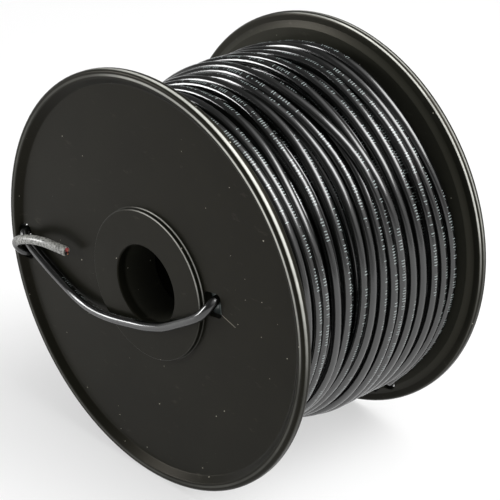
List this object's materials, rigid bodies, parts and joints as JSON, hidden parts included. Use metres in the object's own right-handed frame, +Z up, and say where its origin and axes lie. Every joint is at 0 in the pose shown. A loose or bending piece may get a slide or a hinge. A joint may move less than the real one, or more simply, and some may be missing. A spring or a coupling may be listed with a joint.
{
  "type": "wire spool",
  "caption": "Plastic wire spool with two lipped flanges on a barrel with a central arbor bore, wound full of thin two-conductor cable whose ends are tied through holes in the flanges.",
  "frame": {"origin": "on the spool's axis, half way between the two rims' outer planes", "axes": "+Y along the spool's axis from the flange with the tied inner cable end to the other flange; +Z up, with the spool lying on its rims; +X to the right when that flange is seen from the front"},
  "size_m": [0.165, 0.1087, 0.165],
  "materials": {
    "flange_plastic": "black injection-moulded polystyrene, fine satin",
    "barrel_plastic": "black extruded plastic tube, satin",
    "jacket_pvc": "black flexible PVC cable jacket, semi-gloss",
    "red_pvc": "red flexible PVC conductor insulation",
    "black_pvc": "black flexible PVC conductor insulation",
    "copper": "bare stranded copper, cut end"
  },
  "bodies": {
    "root": {"near_flange": "flange_plastic", "far_flange": "flange_plastic", "barrel": "barrel_plastic", "inner_windings": "jacket_pvc", "outer_windings": "jacket_pvc", "start_tail": "jacket_pvc", "finish_tail": "jacket_pvc", "red_conductor": "red_pvc", "black_conductor": "black_pvc", "copper_strands": "copper"}
  },
  "joints": []
}
